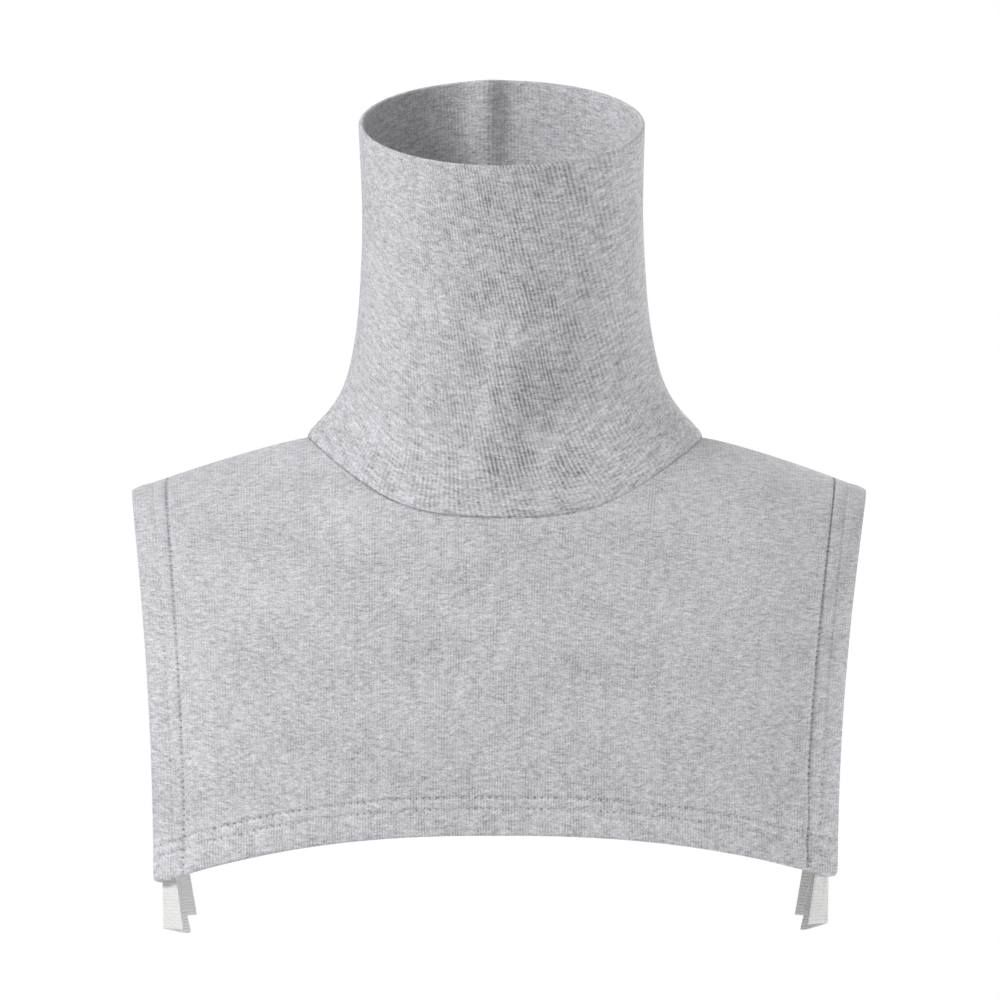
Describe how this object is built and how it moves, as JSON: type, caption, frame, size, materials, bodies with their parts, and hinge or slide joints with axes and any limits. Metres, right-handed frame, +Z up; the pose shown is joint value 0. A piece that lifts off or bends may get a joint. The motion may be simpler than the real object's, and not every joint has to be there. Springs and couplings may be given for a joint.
{
  "type": "turtleneck dickey",
  "caption": "Sleeveless knit chest and back panel with a tall folded stand-up collar and elastic under-arm straps, worn under a jumper.",
  "frame": {"origin": "centre of the neck opening, level with the inner ends of the shoulder seams", "axes": "+Z up, -Y to the front (chest), +X to the right seen from the front"},
  "size_m": [0.353, 0.1979, 0.4133],
  "materials": {
    "grey_knit": "light grey melange cotton knit, matt",
    "white_elastic": "white woven elastic, faint sheen"
  },
  "bodies": {
    "root": {"collar": "grey_knit", "front_panel": "grey_knit", "back_panel": "grey_knit", "neck_seam": "grey_knit", "shoulder_seam_left": "grey_knit", "shoulder_seam_right": "grey_knit", "strap_left": "white_elastic", "strap_right": "white_elastic"}
  },
  "joints": []
}
